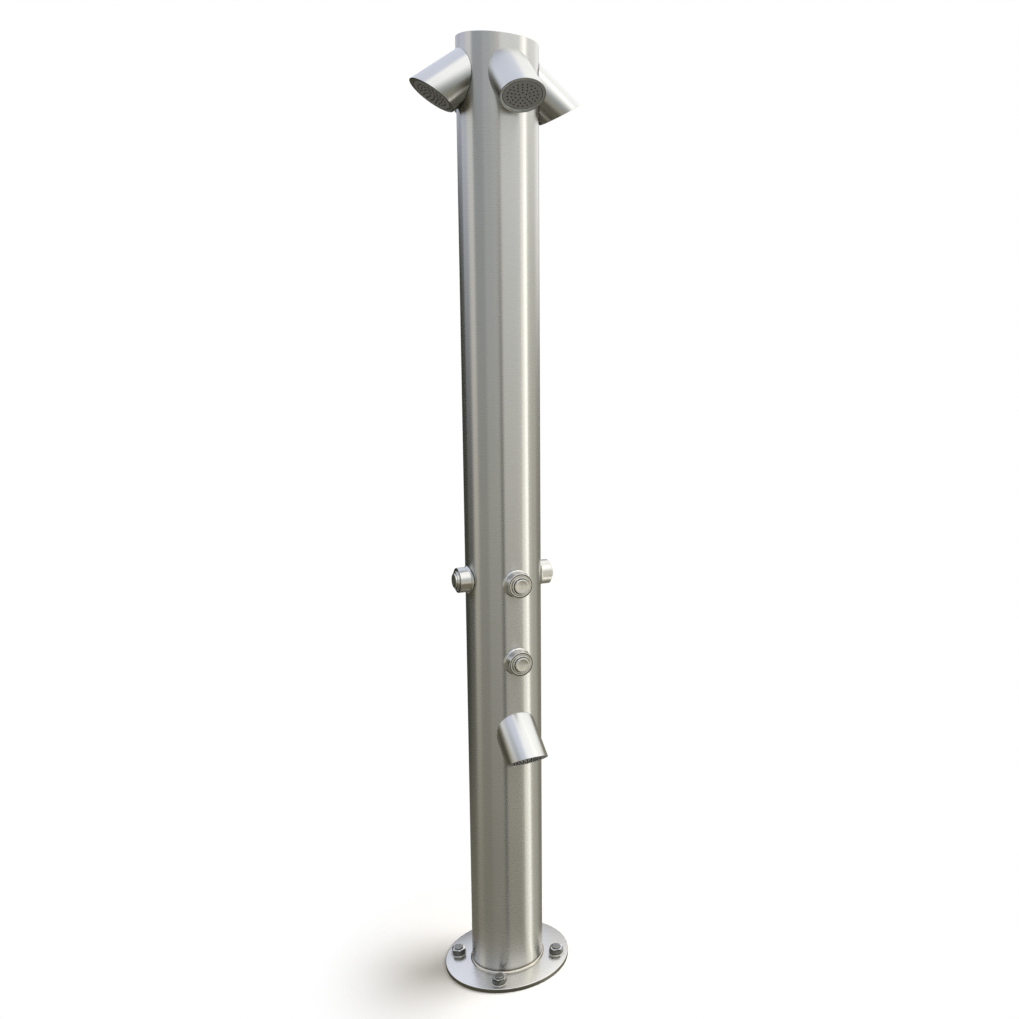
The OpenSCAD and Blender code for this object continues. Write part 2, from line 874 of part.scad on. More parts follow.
base_flange();
foot_weld();
column_tube();
top_cap();
anchor_studs();
anchor_washers();
anchor_nuts();
inlet_nipple();
riser_lower();
riser_upper();
riser_bracket();
riser_clamp();
clamp_screw();
tee_block();
cross_block();
inlet_tails();
feed_pipes();
feed_elbows();
pipe_nuts();
head_housing_front();
head_housing_right();
head_housing_back();
head_housing_left();
head_housing_foot();
face_bezels();
nozzle_mats();
spray_chambers();
spray_plate_front();
spray_plate_right();
spray_plate_back();
spray_plate_left();
spray_plate_foot();
valve_collar_front();
valve_collar_right();
valve_collar_back();
valve_collar_left();
valve_collar_foot();
push_button_front();
push_button_right();
push_button_back();
push_button_left();
push_button_foot();
spindle_front();
spindle_right();
spindle_back();
spindle_left();
spindle_foot();
return_spring_front();
return_spring_right();
return_spring_back();
return_spring_left();
return_spring_foot();
valve_body_front();
valve_body_right();
valve_body_back();
valve_body_left();
valve_body_foot();
valve_seals();
saddle_washers();
lock_nuts();
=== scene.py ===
# Outdoor shower post: the looks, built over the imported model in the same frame, in metres.
# Front is towards -Y, and the foot spout is on that side.
import math

import bpy
from mathutils import Matrix, Vector


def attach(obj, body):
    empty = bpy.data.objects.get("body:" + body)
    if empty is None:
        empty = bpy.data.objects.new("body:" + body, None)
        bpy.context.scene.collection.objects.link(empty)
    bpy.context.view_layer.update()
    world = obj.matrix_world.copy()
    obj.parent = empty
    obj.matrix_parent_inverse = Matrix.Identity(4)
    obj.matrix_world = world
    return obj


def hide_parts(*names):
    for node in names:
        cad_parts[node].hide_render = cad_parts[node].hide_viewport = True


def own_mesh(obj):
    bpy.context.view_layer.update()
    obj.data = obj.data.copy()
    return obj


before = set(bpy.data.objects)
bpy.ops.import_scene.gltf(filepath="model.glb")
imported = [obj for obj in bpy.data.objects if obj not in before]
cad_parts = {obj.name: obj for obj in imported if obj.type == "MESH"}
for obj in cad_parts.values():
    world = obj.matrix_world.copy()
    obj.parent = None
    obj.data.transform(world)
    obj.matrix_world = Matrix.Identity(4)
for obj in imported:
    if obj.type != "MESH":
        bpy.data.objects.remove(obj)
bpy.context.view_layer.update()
print("frame loaded:", len(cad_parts), "nodes")

mm = 0.001
hair = 0.01 * mm  # points closer than this are welded, and faces stay this far from each other
turns = {"front": 0, "right": 90, "back": 180, "left": -90}  # degrees round the column
column = {"radius": 84.15 * mm, "foot": 10 * mm}  # what heads, collars and weld sit on


def deselectAll():
    if bpy.context.object and bpy.context.object.mode != "OBJECT":
        bpy.ops.object.mode_set(mode="OBJECT")
    bpy.ops.object.select_all(action="DESELECT")


def pickUp(piece):
    deselectAll()
    piece.select_set(True)
    bpy.context.view_layer.objects.active = piece


def closeEdit(weld=hair, fill=False):
    # ends edit mode: open ends filled, doubles welded, faces turned outwards
    bpy.ops.mesh.select_all(action="SELECT")
    if fill:
        bpy.ops.mesh.fill_holes(sides=0)
        bpy.ops.mesh.select_all(action="SELECT")
    bpy.ops.mesh.remove_doubles(threshold=weld)
    bpy.ops.mesh.normals_make_consistent(inside=False)
    bpy.ops.object.mode_set(mode="OBJECT")


def smooth(piece, angle):
    pickUp(piece)
    bpy.ops.object.shade_smooth_by_angle(angle=math.radians(angle))


def applyPlace():
    bpy.ops.object.transform_apply(location=True, rotation=True, scale=True)


def drawLoops(name, loops, sides, ring=False):
    # a circle drawn out from loop to loop; a loop is its half width, half depth, shift along Y
    # and height, and ring joins the last loop to the first
    deselectAll()
    wide, deep, shift, height = loops[0]
    bpy.ops.mesh.primitive_circle_add(
        vertices=sides, radius=wide, location=(0, shift, height), fill_type="NOTHING")
    piece = bpy.context.object
    piece.name = name
    applyPlace()
    bpy.ops.object.mode_set(mode="EDIT")
    bpy.ops.mesh.select_all(action="SELECT")
    bpy.ops.transform.resize(value=(1, deep / wide, 1), center_override=(0, shift, height))
    for nextWide, nextDeep, nextShift, nextHeight in loops[1:] + (loops[:1] if ring else []):
        bpy.ops.mesh.extrude_region_move(
            TRANSFORM_OT_translate={"value": (0, nextShift - shift, nextHeight - height)})
        bpy.ops.transform.resize(
            value=(nextWide / wide, nextDeep / deep, 1), center_override=(0, nextShift, nextHeight))
        wide, deep, shift, height = nextWide, nextDeep, nextShift, nextHeight
    closeEdit(fill=not ring)
    return piece


def turnOutline(name, outline, sides, ring=False):
    # a turned piece, as from a lathe: an outline of radius and height
    return drawLoops(name, [(radius, radius, 0, height) for radius, height in outline], sides, ring)


def cutWith(piece, cutter, operation="DIFFERENCE"):
    pickUp(piece)
    modifier = piece.modifiers.new("cut", "BOOLEAN")
    modifier.operation = operation
    modifier.solver = "EXACT"
    modifier.object = cutter
    bpy.ops.object.modifier_apply(modifier=modifier.name)
    bpy.data.objects.remove(cutter)


def mapRound(piece, axis, girth):
    # UV map of a round piece: U runs along its outline and V round it, both in metres
    slant = 1.15  # not 1, so that U doesn't stand still along a chamfer of 45 degrees
    inward = axis.inverted()
    layer = piece.data.uv_layers.new(name="roundMap")
    for face in piece.data.polygons:
        middle = inward @ face.center
        middleAngle = math.atan2(middle.y, middle.x)
        for loop in face.loop_indices:
            spot = inward @ piece.data.vertices[piece.data.loops[loop].vertex_index].co
            radius = math.hypot(spot.x, spot.y)
            angle = math.atan2(spot.y, spot.x) if radius > hair else middleAngle
            angle = middleAngle + (angle - middleAngle + math.pi) % (2 * math.pi) - math.pi
            layer.data[loop].uv = (spot.z * slant - radius, angle * girth)


def copyTo(piece, name, place):
    twin = piece.copy()
    twin.data = piece.data.copy()
    twin.name = name
    twin.data.name = name
    bpy.context.scene.collection.objects.link(twin)
    twin.data.transform(place)
    return twin


def joinPieces(name, pieces):
    deselectAll()
    for piece in pieces:
        piece.select_set(True)
    bpy.context.view_layer.objects.active = pieces[0]
    bpy.ops.object.join()
    joined = bpy.context.object
    joined.name = name
    return joined


def settle(piece, material, body, node):
    # place into the mesh, then material, body and the CAD node that the piece stands for
    pickUp(piece)
    applyPlace()
    if material:
        piece.data.materials.clear()
        piece.data.materials.append(material)
    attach(piece, body)
    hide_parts(node)


def turnBy(degrees):
    return Matrix.Rotation(math.radians(degrees), 4, "Z")


# The camera, from the fit of the column, flange, heads and buttons to the photograph: angles in
# degrees, distance and height in metres, the rest in pixels, sensor in millimetres
view = {
    "azimuth": -20.40, "distance": 2.4112, "height": 1.5727,
    "yaw": 14.532, "pitch": 11.757, "roll": 2.359,
    "focal": 1045.46, "centreX": 767.86, "centreY": 539.33, "picture": 1019,
    "sensor": 36, "near": 0.05, "far": 100}


def setCamera():
    yaw, pitch, roll = (math.radians(view[k]) for k in ("yaw", "pitch", "roll"))
    ahead = Vector((
        math.sin(yaw) * math.cos(pitch), math.cos(yaw) * math.cos(pitch), -math.sin(pitch)))
    right = Vector((math.cos(yaw), -math.sin(yaw), 0))
    up = right.cross(ahead)
    across = right * math.cos(roll) + up * math.sin(roll)
    upward = up * math.cos(roll) - right * math.sin(roll)
    turned = Matrix((across, upward, -ahead)).transposed().to_4x4()
    placed = Matrix.Translation((0, -view["distance"], view["height"])) @ turned
    lens = bpy.data.cameras.new("camera")
    camera = bpy.data.objects.new("camera", lens)
    bpy.context.scene.collection.objects.link(camera)
    camera.matrix_world = turnBy(view["azimuth"]) @ placed
    lens.sensor_width = view["sensor"]
    lens.lens = view["sensor"] * view["focal"] / view["picture"]
    lens.shift_x = (view["picture"] / 2 - view["centreX"]) / view["picture"]
    lens.shift_y = (view["centreY"] - view["picture"] / 2) / view["picture"]
    lens.clip_start, lens.clip_end = view["near"], view["far"]
    bpy.context.scene.camera = camera


setCamera()
print("camera set")


def toLinear(colour):
    parts = [int(colour[i:i + 2], 16) / 255 for i in (1, 3, 5)]
    return [p / 12.92 if p <= 0.04045 else ((p + 0.055) / 1.055) ** 2.4 for p in parts] + [1]


def addNode(tree, kind, inputs=None, **settings):
    node = tree.nodes.new(kind)
    for name, value in settings.items():
        setattr(node, name, value)
    for name, value in (inputs or {}).items():
        if isinstance(value, bpy.types.NodeSocket):
            tree.links.new(value, node.inputs[name])
        else:
            node.inputs[name].default_value = value
    return node


def emptyTree(holder):
    holder.use_nodes = True
    holder.node_tree.nodes.clear()
    return holder.node_tree


noiseSpan = (0.3, 0.7)  # nearly all values of a noise lie between these


def closeFinish(tree, look, pattern, tint, inputs):
    # roughness and relief follow the pattern, and what is the same all over comes in inputs
    sheen = addNode(tree, "ShaderNodeMapRange", {
        "Value": pattern, "From Min": noiseSpan[0], "From Max": noiseSpan[1],
        "To Min": look["roughness"] - look["spread"], "To Max": look["roughness"] + look["spread"]})
    relief = addNode(tree, "ShaderNodeBump", {
        "Height": pattern, "Strength": look["relief"], "Distance": look["depthMm"] * mm})
    shader = addNode(tree, "ShaderNodeBsdfPrincipled", {
        "Base Color": tint, "Roughness": sheen.outputs["Result"],
        "Normal": relief.outputs["Normal"], **inputs})
    addNode(tree, "ShaderNodeOutputMaterial", {"Surface": shader.outputs["BSDF"]})


def steelFinish(name, look):
    # Stainless steel. The grain is a noise drawn out along the strokes of the belt or tool: across
    # the strokes it is one feature each grainMm, along them one each strokeMm. It moves the
    # roughness and the surface a little, and a slower cloud moves the colour, as wiped and
    # weathered steel shows. Strokes run round z, along x, or along V of the UV map.
    material = bpy.data.materials.new(name)
    tree = emptyTree(material)
    around = look["around"]
    places = addNode(tree, "ShaderNodeTexCoord")
    source = places.outputs["UV" if around == "uv" else "Object"]
    across, along = 1 / (look["grainMm"] * mm), 1 / (look["strokeMm"] * mm)
    scales = {"z": (along, along, across), "uv": (across, along, 1), "x": (along, across, across)}
    grainPlace = addNode(tree, "ShaderNodeMapping", {"Vector": source, "Scale": scales[around]})
    grain = addNode(tree, "ShaderNodeTexNoise", {
        "Vector": grainPlace.outputs["Vector"], "Scale": 1.0, "Detail": 2.0, "Roughness": 0.6})
    cloud = addNode(tree, "ShaderNodeTexNoise", {
        "Vector": places.outputs["Object"], "Scale": 1 / (look["cloudMm"] * mm),
        "Detail": 3.0, "Roughness": 0.5})
    tint = addNode(tree, "ShaderNodeMix", {
        "Factor": cloud.outputs["Fac"], "A": toLinear(look["colour"]), "B": toLinear(look["worn"])},
        data_type="RGBA")
    fades = []  # what is measured along Z, where a heat tint or a painted shade covers all, where it is gone, and its colour
    if "heatTint" in look:  # darkened by the heat of the weld at the foot
        fades.append((places.outputs["Object"], look["heatFromMm"] * mm, look["heatToMm"] * mm,
                      look["heatTint"]))
    if "paintedShadeBelow" in look:  # painted shade: darker on what doesn't face up, read from the Z of the normal
        facing = addNode(tree, "ShaderNodeNewGeometry").outputs["Normal"]
        fades.append((facing, look["shadeFullBelow"], look["shadeGoneAbove"], look["paintedShadeBelow"]))
    for vector, full, gone, shade in fades:
        parts = addNode(tree, "ShaderNodeSeparateXYZ", {"Vector": vector})
        clearOfTintAndShade = addNode(tree, "ShaderNodeMapRange", {
            "Value": parts.outputs["Z"], "From Min": full, "From Max": gone},
            interpolation_type="SMOOTHSTEP")
        tint = addNode(tree, "ShaderNodeMix", {
            "Factor": clearOfTintAndShade.outputs["Result"], "A": toLinear(shade), "B": tint.outputs["Result"]},
            data_type="RGBA")
    inputs = {"Metallic": 1.0, "Anisotropic": look["anisotropic"]}
    if around == "uv":
        tangent = addNode(tree, "ShaderNodeTangent", direction_type="UV_MAP", uv_map="roundMap")
        inputs["Tangent"] = tangent.outputs["Tangent"]
    elif around == "z":
        inputs["Anisotropic Rotation"] = 0.25  # a quarter turn, so that lights draw out along Z
    closeFinish(tree, look, grain.outputs["Fac"], tint.outputs["Result"], inputs)
    return material


def plainFinish(name, look):
    # Moulded, cast or machined: a fine speckle in the colour and a low relief of the mould or tool
    material = bpy.data.materials.new(name)
    tree = emptyTree(material)
    places = addNode(tree, "ShaderNodeTexCoord")
    speck = addNode(tree, "ShaderNodeTexNoise", {
        "Vector": places.outputs["Object"], "Scale": 1 / (look["speckMm"] * mm),
        "Detail": 3.0, "Roughness": 0.6})
    tint = addNode(tree, "ShaderNodeMix", {
        "Factor": speck.outputs["Fac"], "A": toLinear(look["colour"]), "B": toLinear(look["worn"])},
        data_type="RGBA")
    inputs = {"Metallic": look["metallic"]}
    if "ior" in look:
        inputs["IOR"] = look["ior"]
    closeFinish(tree, look, speck.outputs["Fac"], tint.outputs["Result"], inputs)
    return material


# The real grain of these steels is about 0.2 mm, and a mould's pebble 0.1 mm. Both are too fine to
# show, so every grain and speck is drawn as coarse as it needs to be seen.

# Belt-ground tube: strokes run round it, so lights draw out along its length
columnSteel = steelFinish("columnSatinSteel", {
    "colour": "#D4D3D1", "worn": "#CBCAC7", "roughness": 0.27, "spread": 0.006,
    "anisotropic": 0.98, "around": "z", "grainMm": 1.5, "strokeMm": 120, "cloudMm": 160,
    "relief": 0.004, "depthMm": 0.03, "heatTint": "#5F5A50", "heatFromMm": 13, "heatToMm": 23})
# Belt-ground as well, round each short tube: bright above, and painted shade makes it dull grey
# below
headSteel = steelFinish("headSatinSteel", {
    "colour": "#E0E0DF", "worn": "#D8D8D5", "roughness": 0.25, "spread": 0.015,
    "anisotropic": 0.9, "around": "uv", "grainMm": 1.2, "strokeMm": 30, "cloudMm": 60,
    "relief": 0.02, "depthMm": 0.03, "paintedShadeBelow": "#A4A4A1", "shadeGoneAbove": 0.25, "shadeFullBelow": -0.2})
# Turned on a lathe: faint rings, and lights that fan out over a face
collarSteel = steelFinish("collarTurnedSteel", {
    "colour": "#E2E1DE", "worn": "#D2D1CC", "roughness": 0.20, "spread": 0.03,
    "anisotropic": 0.6, "around": "uv", "grainMm": 0.8, "strokeMm": 25, "cloudMm": 20,
    "relief": 0.10, "depthMm": 0.03})
# Turned, then rubbed by fingers: brighter, with a softer fan of light
buttonSteel = steelFinish("buttonTurnedSteel", {
    "colour": "#E9E8E5", "worn": "#DCDAD5", "roughness": 0.24, "spread": 0.03,
    "anisotropic": 0.8, "around": "uv", "grainMm": 0.8, "strokeMm": 20, "cloudMm": 14,
    "relief": 0.10, "depthMm": 0.03})
# Pressed ring, ground satin: an even pale grey without sharp lights
bezelSteel = steelFinish("bezelSatinSteel", {
    "colour": "#C6CACE", "worn": "#B6B9BB", "roughness": 0.38, "spread": 0.04,
    "anisotropic": 0.0, "around": "x", "grainMm": 1.0, "strokeMm": 12, "cloudMm": 25,
    "relief": 0.10, "depthMm": 0.03})
# Cut from plate and polished after brushing, so that the column shows in it
flangeSteel = steelFinish("flangePolishedPlate", {
    "colour": "#F2F0EB", "worn": "#E9E7E1", "roughness": 0.26, "spread": 0.03,
    "anisotropic": 0.0, "around": "x", "grainMm": 1.2, "strokeMm": 50, "cloudMm": 90,
    "relief": 0.05, "depthMm": 0.03})
# The cut rim of the plate: matt, darker as cut steel is, and darker still as painted shade low by
# the floor
cutSteelAndShade = steelFinish("flangeCutSteelAndShade", {
    "colour": "#8E8C85", "worn": "#77756C", "roughness": 0.45, "spread": 0.05,
    "anisotropic": 0.0, "around": "z", "grainMm": 1.5, "strokeMm": 3, "cloudMm": 25,
    "relief": 0.15, "depthMm": 0.05})
# Brushed sheet: straight strokes and a broad, soft gleam
capSteel = steelFinish("topCapSatinSteel", {
    "colour": "#D0CEC9", "worn": "#C2BFB7", "roughness": 0.30, "spread": 0.03,
    "anisotropic": 0.0, "around": "x", "grainMm": 1.2, "strokeMm": 60, "cloudMm": 70,
    "relief": 0.10, "depthMm": 0.04})
# Weld bead, brushed bright: small ripples that break up what it mirrors
weldSteel = steelFinish("footWeldSteel", {
    "colour": "#DEDBD2", "worn": "#C9C2B2", "roughness": 0.28, "spread": 0.05,
    "anisotropic": 0.0, "around": "uv", "grainMm": 0.6, "strokeMm": 1.6, "cloudMm": 14,
    "relief": 0.5, "depthMm": 0.25})
# Forged and tumbled: nearly white tops, and painted shade makes the flats dull and dark
nutSteel = steelFinish("nutForgedSteel", {
    "colour": "#EAEAE7", "worn": "#D6D6D2", "roughness": 0.18, "spread": 0.05,
    "anisotropic": 0.0, "around": "x", "grainMm": 0.7, "strokeMm": 6, "cloudMm": 9,
    "relief": 0.10, "depthMm": 0.03, "paintedShadeBelow": "#6C6C68", "shadeGoneAbove": 0.85, "shadeFullBelow": 0.3})
# Rolled thread: greyer than the nuts, and painted shade makes it darker in its roots and on
# whatever doesn't face up
studSteel = steelFinish("studRolledSteel", {
    "colour": "#A9A7A2", "worn": "#918F89", "roughness": 0.34, "spread": 0.05,
    "anisotropic": 0.0, "around": "z", "grainMm": 0.7, "strokeMm": 8, "cloudMm": 8,
    "relief": 0.12, "depthMm": 0.03, "paintedShadeBelow": "#75736E", "shadeGoneAbove": 0.85, "shadeFullBelow": 0.3})
# Punched from bright sheet: a clear gleam round the rim
washerSteel = steelFinish("washerPunchedSteel", {
    "colour": "#DAD9D5", "worn": "#C8C6C0", "roughness": 0.22, "spread": 0.05,
    "anisotropic": 0.0, "around": "x", "grainMm": 0.8, "strokeMm": 8, "cloudMm": 12,
    "relief": 0.10, "depthMm": 0.03})
# Drawn pipe, wiped round: a narrow gleam along it, crossed by faint streaks
pipeSteel = steelFinish("pipeDrawnSteel", {
    "colour": "#CFCECA", "worn": "#BDBBB4", "roughness": 0.26, "spread": 0.04,
    "anisotropic": 0.0, "around": "z", "grainMm": 0.9, "strokeMm": 25, "cloudMm": 40,
    "relief": 0.08, "depthMm": 0.03})
# Strip as it leaves the mill: grey and matt
bracketSteel = steelFinish("bracketMillSteel", {
    "colour": "#B9B7B1", "worn": "#A19E96", "roughness": 0.42, "spread": 0.05,
    "anisotropic": 0.0, "around": "x", "grainMm": 1.0, "strokeMm": 15, "cloudMm": 20,
    "relief": 0.15, "depthMm": 0.05})
# Drawn wire: dark grey, a thin gleam on each turn
springSteel = steelFinish("springWireSteel", {
    "colour": "#B0AFAB", "worn": "#96948E", "roughness": 0.30, "spread": 0.05,
    "anisotropic": 0.0, "around": "z", "grainMm": 0.6, "strokeMm": 5, "cloudMm": 6,
    "relief": 0.10, "depthMm": 0.02})
# Ground rod: the clearest mirror of them all
spindleSteel = steelFinish("spindleGroundSteel", {
    "colour": "#C8C7C3", "worn": "#B4B2AB", "roughness": 0.18, "spread": 0.04,
    "anisotropic": 0.0, "around": "z", "grainMm": 0.6, "strokeMm": 8, "cloudMm": 12,
    "relief": 0.06, "depthMm": 0.02})
# Machined brass: warm, with the soft gloss of a cut surface
fittingBrass = plainFinish("fittingMachinedBrass", {
    "colour": "#C9A55C", "worn": "#B08B45", "roughness": 0.30, "spread": 0.06,
    "metallic": 1.0, "speckMm": 3.0, "relief": 0.15, "depthMm": 0.04})
# Moulded grey ABS: even colour, a soft gloss and the fine pebble of an eroded mould
plateGrey = plainFinish("sprayPlateMouldedAbs", {
    "colour": "#95989A", "worn": "#86898B", "roughness": 0.42, "spread": 0.05,
    "metallic": 0.0, "ior": 1.54, "speckMm": 0.8, "relief": 0.25, "depthMm": 0.05})
# Moulded silicone: dark and matt, slightly paler where rubbed
nozzleSilicone = plainFinish("nozzleMouldedSilicone", {
    "colour": "#2A2B28", "worn": "#181916", "roughness": 0.50, "spread": 0.05,
    "metallic": 0.0, "ior": 1.41, "speckMm": 2.0, "relief": 0.2, "depthMm": 0.04})
# Moulded acetal: nearly black, with a waxy gloss
chamberPlastic = plainFinish("chamberMouldedAcetal", {
    "colour": "#33342F", "worn": "#2A2B28", "roughness": 0.45, "spread": 0.05,
    "metallic": 0.0, "ior": 1.48, "speckMm": 1.5, "relief": 0.2, "depthMm": 0.04})
# Painted shade for the grooves of the valves: nearly black and dull, where a groove or bore lies in
# shade
groovePaintedShade = plainFinish("groovePaintedShade", {
    "colour": "#2A2A27", "worn": "#1E1E1B", "roughness": 0.60, "spread": 0.05,
    "metallic": 0.0, "ior": 1.5, "speckMm": 1.5, "relief": 0.2, "depthMm": 0.04})
# Moulded rubber: a thin black line round each collar's root, without gloss
sealRubber = plainFinish("sealRubber", {
    "colour": "#26271F", "worn": "#1C1D18", "roughness": 0.62, "spread": 0.05,
    "metallic": 0.0, "ior": 1.52, "speckMm": 1.0, "relief": 0.25, "depthMm": 0.05})
print("materials made:", len(bpy.data.materials))

# The stage: a round pale floor that fades into the white world, and the drum that steel mirrors
stageLook = {
    "floorRadius": 1.6, "floorDrop": 0.5 * mm, "floorSides": 96, "floorColour": "#FFFFFF",
    "fadeFrom": 0.17, "fadeTo": 0.46, "fill": "#D6CEBF", "fillStrength": 0.52,
    "drumRadius": 6.0, "drumBottom": -5.5, "drumTop": 7.5, "drumSides": 128,
    "eyeLevel": 1.5, "ground": "#625E52", "lift": 2.0}

# Soft-edged cards on the drum round the post, seen only in the steel; a later one hides an earlier
# one. Left and right ends and their softness in degrees from the camera's side to the right, then
# foot and top and their softness in degrees over eye level, then the shade.
studioCards = [
    (-190, 190, 1, -99, -52, 12, "#45423A"),   # dark underfoot
    (6, 150, 10, -99, 20, 20, "#65635A"),      # paler ground at the right
    (4, 58, 8, -99, -24, 14, "#5A5649"),       # but darker in front
    (6, 76, 8, -24, 28, 16, "#979B9C"),        # grey wall at the right
    (6, 76, 8, -24, -6, 14, "#A09C90"),        # and its warmer foot
    (-190, -26, 20, 5, 99, 14, "#AAAEBA"),     # cool sky, left and behind
    (-26, 170, 20, 20, 99, 32, "#D6D6D6"),     # bright sky, right
    (84, 160, 20, 2, 99, 12, "#CFCFCE"),       # the same lower down at the far right
    (-76, -6, 6, -20, 34, 26, "#787C7D"),      # grey wall at the left
    (-42, -6, 8, -22, 30, 20, "#888C8E"),      # its paler end, towards the camera
    (-76, -6, 6, -20, -6, 14, "#7E7C71"),      # the warmer foot of that wall
    (-42, -6, 8, -22, -6, 14, "#8E8C81"),      # and of its paler end
    (-98, -77, 6, 2, 30, 20, "#B6B6B5"),       # pale card at the left, upper half
    (-93, -75, 6, -22, 4, 20, "#9C9A90"),      # and lower half
    (-180, -120, 16, -32, 12, 10, "#2B2C23"),  # dark flag, left behind
    (-122, -99, 8, -32, 0, 12, "#323329"),     # lower dark flag beside it
    (62, 76, 10, -60, 20, 20, "#ADA99F"),      # pale card left of the light strip
    (84, 124, 16, -60, 10, 20, "#8B8A80"),     # grey card right of it
    (84, 98, 16, -60, 10, 20, "#9D9C91"),      # paler where it meets the strip
    (66, 90, 8, 6, 60, 16, "#DEDEDA"),         # wide top of the light strip
    (75, 85, 3, -75, 60, 10, "#F8F8F0"),       # light strip
    (-2.5, 4.5, 2, -45, 6, 24, "#494B49"),     # narrow dark card in front
]


def drumMaterial():
    material = bpy.data.materials.new("studioDrum")
    tree = emptyTree(material)
    places = addNode(tree, "ShaderNodeTexCoord")
    turned = addNode(tree, "ShaderNodeMapping", {
        "Vector": places.outputs["Object"], "Location": (0, 0, -stageLook["eyeLevel"]),
        "Rotation": (0, 0, math.radians(90 - view["azimuth"]))})
    parts = addNode(tree, "ShaderNodeSeparateXYZ", {"Vector": turned.outputs["Vector"]})
    flat = addNode(tree, "ShaderNodeMapping", {
        "Vector": turned.outputs["Vector"], "Scale": (1, 1, 0)})
    away = addNode(tree, "ShaderNodeVectorMath", {0: flat.outputs["Vector"]}, operation="LENGTH")
    degrees = []  # to the right of the camera's side, and over eye level
    for rise, run in ((parts.outputs["Y"], parts.outputs["X"]),
                      (parts.outputs["Z"], away.outputs["Value"])):
        angle = addNode(tree, "ShaderNodeMath", {0: rise, 1: run}, operation="ARCTAN2")
        degrees.append(addNode(
            tree, "ShaderNodeMath", {0: angle.outputs["Value"]}, operation="DEGREES"))
    side, height = (node.outputs["Value"] for node in degrees)
    seen = toLinear(stageLook["ground"])
    for left, right, soft, foot, top, blur, shade in studioCards:
        turn = addNode(
            tree, "ShaderNodeMath", {0: side, 1: (left + right) / 2}, operation="SUBTRACT")
        off = addNode(
            tree, "ShaderNodeMath", {0: turn.outputs["Value"], 1: 180}, operation="PINGPONG")
        inside = []  # within the width, over the foot and under the top
        for value, edge, width, ends in (
                (off.outputs["Value"], (right - left) / 2, soft, (1, 0)),
                (height, foot, blur, (0, 1)), (height, top, blur, (1, 0))):
            inside.append(addNode(tree, "ShaderNodeMapRange", {
                "Value": value, "From Min": edge - width / 2, "From Max": edge + width / 2,
                "To Min": ends[0], "To Max": ends[1]}, interpolation_type="SMOOTHSTEP"))
        across, over, under = (step.outputs["Result"] for step in inside)
        upright = addNode(tree, "ShaderNodeMath", {0: over, 1: under}, operation="MULTIPLY")
        cover = addNode(
            tree, "ShaderNodeMath", {0: across, 1: upright.outputs["Value"]}, operation="MULTIPLY")
        card = addNode(tree, "ShaderNodeMix", {
            "Factor": cover.outputs["Value"], "A": seen, "B": toLinear(shade)}, data_type="RGBA")
        seen = card.outputs["Result"]
    glow = addNode(tree, "ShaderNodeEmission", {"Color": seen, "Strength": stageLook["lift"]})
    addNode(tree, "ShaderNodeOutputMaterial", {"Surface": glow.outputs["Emission"]})
    return material


def standDrum():
    deselectAll()
    low, high = stageLook["drumBottom"], stageLook["drumTop"]
    bpy.ops.mesh.primitive_cylinder_add(
        vertices=stageLook["drumSides"], radius=stageLook["drumRadius"], depth=high - low,
        location=(0, 0, (low + high) / 2))
    drum = bpy.context.object
    drum.name = "studioDrum"
    applyPlace()
    drum.data.materials.append(drumMaterial())
    drum.visible_camera = False  # it is there for mirrors alone
    drum.visible_diffuse = False
    drum.visible_transmission = False
    drum.visible_shadow = False
    drum.visible_volume_scatter = False


def setWorld():
    # white for the camera and for what steel mirrors, a plain fill for everything else
    world = bpy.data.worlds.new("world")
    bpy.context.scene.world = world
    tree = emptyTree(world)
    path = addNode(tree, "ShaderNodeLightPath")
    direct = addNode(tree, "ShaderNodeMath", {
        0: path.outputs["Is Camera Ray"], 1: path.outputs["Is Glossy Ray"]}, operation="MAXIMUM")
    shown = addNode(tree, "ShaderNodeMath", {
        0: direct.outputs["Value"], 1: path.outputs["Is Transmission Ray"]}, operation="MAXIMUM")
    fill = addNode(tree, "ShaderNodeBackground", {
        "Color": toLinear(stageLook["fill"]), "Strength": stageLook["fillStrength"]})
    white = addNode(tree, "ShaderNodeBackground", {"Color": (1, 1, 1, 1), "Strength": 1.0})
    both = addNode(tree, "ShaderNodeMixShader", {
        0: shown.outputs["Value"], 1: fill.outputs["Background"], 2: white.outputs["Background"]})
    addNode(tree, "ShaderNodeOutputWorld", {"Surface": both.outputs["Shader"]})


def layFloor():
    deselectAll()
    bpy.ops.mesh.primitive_circle_add(
        vertices=stageLook["floorSides"], radius=stageLook["floorRadius"], fill_type="NGON",
        location=(0, 0, -stageLook["floorDrop"]))
    floor = bpy.context.object
    floor.name = "floor"
    material = bpy.data.materials.new("floorPaper")
    tree = emptyTree(material)
    places = addNode(tree, "ShaderNodeTexCoord")
    reach = addNode(tree, "ShaderNodeVectorMath", {0: places.outputs["Object"]}, operation="LENGTH")
    fade = addNode(tree, "ShaderNodeMapRange", {
        "Value": reach.outputs["Value"],
        "From Min": stageLook["fadeFrom"], "From Max": stageLook["fadeTo"]},
        interpolation_type="SMOOTHSTEP")
    paper = addNode(tree, "ShaderNodeBsdfDiffuse", {"Color": toLinear(stageLook["floorColour"])})
    clear = addNode(tree, "ShaderNodeBsdfTransparent")
    both = addNode(tree, "ShaderNodeMixShader", {
        0: fade.outputs["Result"], 1: paper.outputs["BSDF"], 2: clear.outputs["BSDF"]})
    addNode(tree, "ShaderNodeOutputMaterial", {"Surface": both.outputs["Shader"]})
    floor.data.materials.append(material)
    floor.visible_glossy = False


# Softboxes, placed from lampAim and turned to it: degrees from the camera's side to the right,
# height in degrees, distance and size in metres
lamps = {
    "keyBox": {
        "side": 99, "rise": 48, "distance": 3.4, "size": 2.6, "watts": 135, "colour": "#FFFFFF"},
    "overheadBox": {
        "side": 30, "rise": 80, "distance": 4.2, "size": 2.6, "watts": 30, "colour": "#F4F7FF"},
}
lampAim = Vector((0, 0, 0.6))


